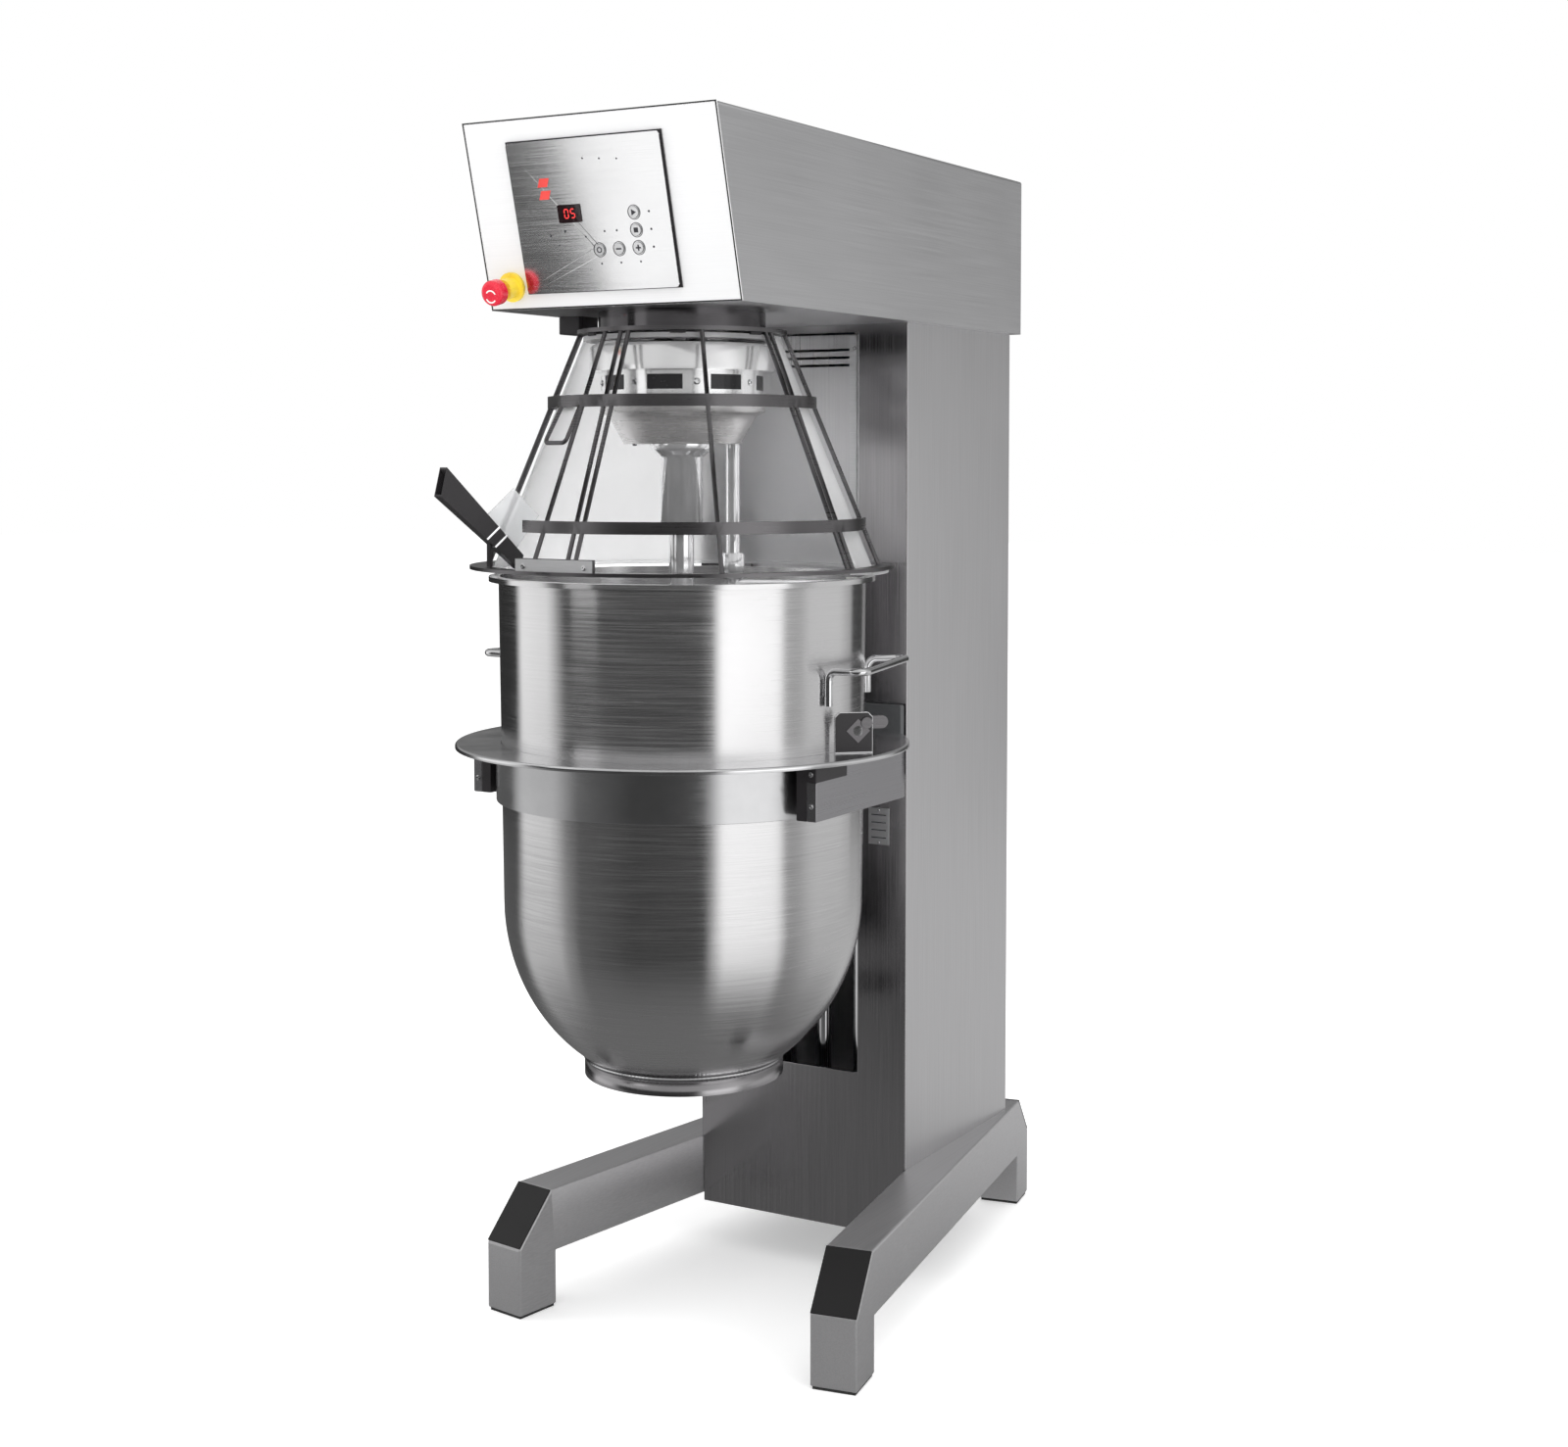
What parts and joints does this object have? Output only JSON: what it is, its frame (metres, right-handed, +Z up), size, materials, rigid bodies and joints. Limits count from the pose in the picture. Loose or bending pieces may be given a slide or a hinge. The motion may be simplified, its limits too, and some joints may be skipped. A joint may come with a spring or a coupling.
{
  "type": "commercial stand mixer",
  "caption": "Floor-standing planetary mixer: tilted control head on a column, lifting bowl in a yoke, swinging wire guard with a feed chute, and splayed legs.",
  "frame": {"origin": "on the floor, under the middle of the machine's bounding box", "axes": "+Z up, the front with its control panel faces -Y, +X is to the right as seen from the front"},
  "size_m": [0.662, 1.187, 1.771],
  "materials": {
    "brushed_sheet": "fine vertical brushing",
    "cast_frame": "machined and oiled",
    "leg_steel": "brushed along the leg",
    "black_plastic": "fine matt grain",
    "rubber_pad": "matt",
    "head_sheet": "fine satin brushing",
    "panel_steel": "brushed panel plate",
    "display_glass": "dark red filter window",
    "yellow_plastic": "gloss",
    "red_plastic": "gloss",
    "black_paint": "semi-gloss black",
    "gear_steel": "hobbed, oiled",
    "polished_steel": "polished",
    "tool_aluminium": "cast and tumbled",
    "nylon_white": "smooth",
    "motor_paint": "grey-blue enamel",
    "belt_rubber": "matt, ribbed",
    "bowl_steel": "satin, brushed round the bowl",
    "bronze": "turned",
    "inverter_case": "fine grain",
    "guard_steel": "electropolished wire",
    "button_metal": "satin"
  },
  "bodies": {
    "machine_frame": {"column_front": "brushed_sheet", "column_side_right": "brushed_sheet", "column_side_left": "brushed_sheet", "column_rear_cover": "brushed_sheet", "column_base": "cast_frame", "slot_panel": "brushed_sheet", "leg_right": "leg_steel", "leg_left": "leg_steel", "leg_caps": "black_plastic", "foot_pads": "rubber_pad", "head_shell": "head_sheet", "head_front_panel": "head_sheet", "head_base_plate": "brushed_sheet", "control_panel": "panel_steel", "display_window": "display_glass", "estop_collar": "yellow_plastic", "cable_gland": "black_plastic", "bearing_housing": "black_paint", "ring_gear": "gear_steel", "main_bearings": "polished_steel", "motor_body": "motor_paint", "drive_belt": "belt_rubber", "guide_rods": "polished_steel", "lift_gearmotor": "motor_paint", "inverter_box": "inverter_case", "guard_rear": "nylon_white", "guard_switch": "black_plastic"},
    "planet_carrier": {"main_shaft": "polished_steel", "carrier_drum": "polished_steel", "carrier_cone": "tool_aluminium", "driven_pulley": "cast_frame", "scraper_rod": "polished_steel", "scraper_blade": "nylon_white"},
    "tool": {"tool_shaft": "polished_steel", "planet_pinion": "gear_steel", "tool_coupling": "polished_steel", "flat_beater": "tool_aluminium"},
    "motor_rotor": {"rotor_shaft": "polished_steel", "motor_pulley": "cast_frame"},
    "bowl_lift": {"bowl": "bowl_steel", "bowl_foot_ring": "bowl_steel", "bowl_flange": "polished_steel", "bowl_handles": "polished_steel", "yoke_arm_right": "leg_steel", "yoke_arm_left": "leg_steel", "arm_liners": "black_plastic", "lift_carriage": "cast_frame", "carriage_bushes": "bronze", "lift_nut": "bronze"},
    "lift_screw_body": {"lift_screw": "polished_steel"},
    "clamp_right_body": {"clamp_right": "polished_steel"},
    "clamp_left_body": {"clamp_left": "polished_steel"},
    "guard_door": {"guard_front": "guard_steel", "feed_chute": "black_plastic"},
    "estop_body": {"estop_button": "red_plastic"},
    "button_1_body": {"panel_button_1": "button_metal"},
    "button_2_body": {"panel_button_2": "button_metal"},
    "button_3_body": {"panel_button_3": "button_metal"},
    "button_4_body": {"panel_button_4": "button_metal"},
    "button_5_body": {"panel_button_5": "button_metal"}
  },
  "joints": [
    {"name": "carrier_spin", "type": "hinge", "parent": "machine_frame", "child": "planet_carrier", "pos_m": [0, -0.26251, 1.44], "axis": [0, 0, 1], "continuous": true},
    {"name": "tool_spin", "type": "hinge", "parent": "planet_carrier", "child": "tool", "pos_m": [0.021, -0.29889, 1.35], "axis": [0, 0, 1], "continuous": true},
    {"name": "motor_spin", "type": "hinge", "parent": "machine_frame", "child": "motor_rotor", "pos_m": [0, 0.35749, 1.5], "axis": [0, 0, 1], "continuous": true},
    {"name": "bowl_lift_slide", "type": "slide", "parent": "machine_frame", "child": "bowl_lift", "axis": [0, 0, 1], "range_m": [-0.3, 0]},
    {"name": "lift_screw_spin", "type": "hinge", "parent": "machine_frame", "child": "lift_screw_body", "pos_m": [0, 0.16749, 0.7], "axis": [0, 0, 1], "range_deg": [-5400, 0]},
    {"name": "clamp_right_pivot", "type": "hinge", "parent": "bowl_lift", "child": "clamp_right_body", "pos_m": [0.30238, -0.26347, 0.937], "axis": [0.6691, -0.7431, 0], "range_deg": [0, 90]},
    {"name": "clamp_left_pivot", "type": "hinge", "parent": "bowl_lift", "child": "clamp_left_body", "pos_m": [-0.30238, -0.26347, 0.937], "axis": [0.6691, 0.7431, 0], "range_deg": [0, 90]},
    {"name": "guard_swing", "type": "hinge", "parent": "machine_frame", "child": "guard_door", "pos_m": [0, -0.26251, 1.486], "axis": [0, 0, 1], "range_deg": [0, 120]},
    {"name": "estop_press", "type": "slide", "parent": "machine_frame", "child": "estop_body", "axis": [0, 0.9683, 0.2496], "range_m": [0, 0.006], "stiffness_N_per_m": 900, "springref_m": -0.004},
    {"name": "button_1_press", "type": "slide", "parent": "machine_frame", "child": "button_1_body", "axis": [0, 0.9683, 0.2496], "range_m": [0, 0.0015], "stiffness_N_per_m": 400, "springref_m": -0.002},
    {"name": "button_2_press", "type": "slide", "parent": "machine_frame", "child": "button_2_body", "axis": [0, 0.9683, 0.2496], "range_m": [0, 0.0015], "stiffness_N_per_m": 400, "springref_m": -0.002},
    {"name": "button_3_press", "type": "slide", "parent": "machine_frame", "child": "button_3_body", "axis": [0, 0.9683, 0.2496], "range_m": [0, 0.0015], "stiffness_N_per_m": 400, "springref_m": -0.002},
    {"name": "button_4_press", "type": "slide", "parent": "machine_frame", "child": "button_4_body", "axis": [0, 0.9683, 0.2496], "range_m": [0, 0.0015], "stiffness_N_per_m": 400, "springref_m": -0.002},
    {"name": "button_5_press", "type": "slide", "parent": "machine_frame", "child": "button_5_body", "axis": [0, 0.9683, 0.2496], "range_m": [0, 0.0015], "stiffness_N_per_m": 400, "springref_m": -0.002}
  ],
  "couplings": [
    {"joint": "tool_spin", "follows": "carrier_spin", "ratio": -2.1667},
    {"joint": "motor_spin", "follows": "carrier_spin", "ratio": 2.75},
    {"joint": "lift_screw_spin", "follows": "bowl_lift_slide", "rad_per_m": 314.16}
  ]
}
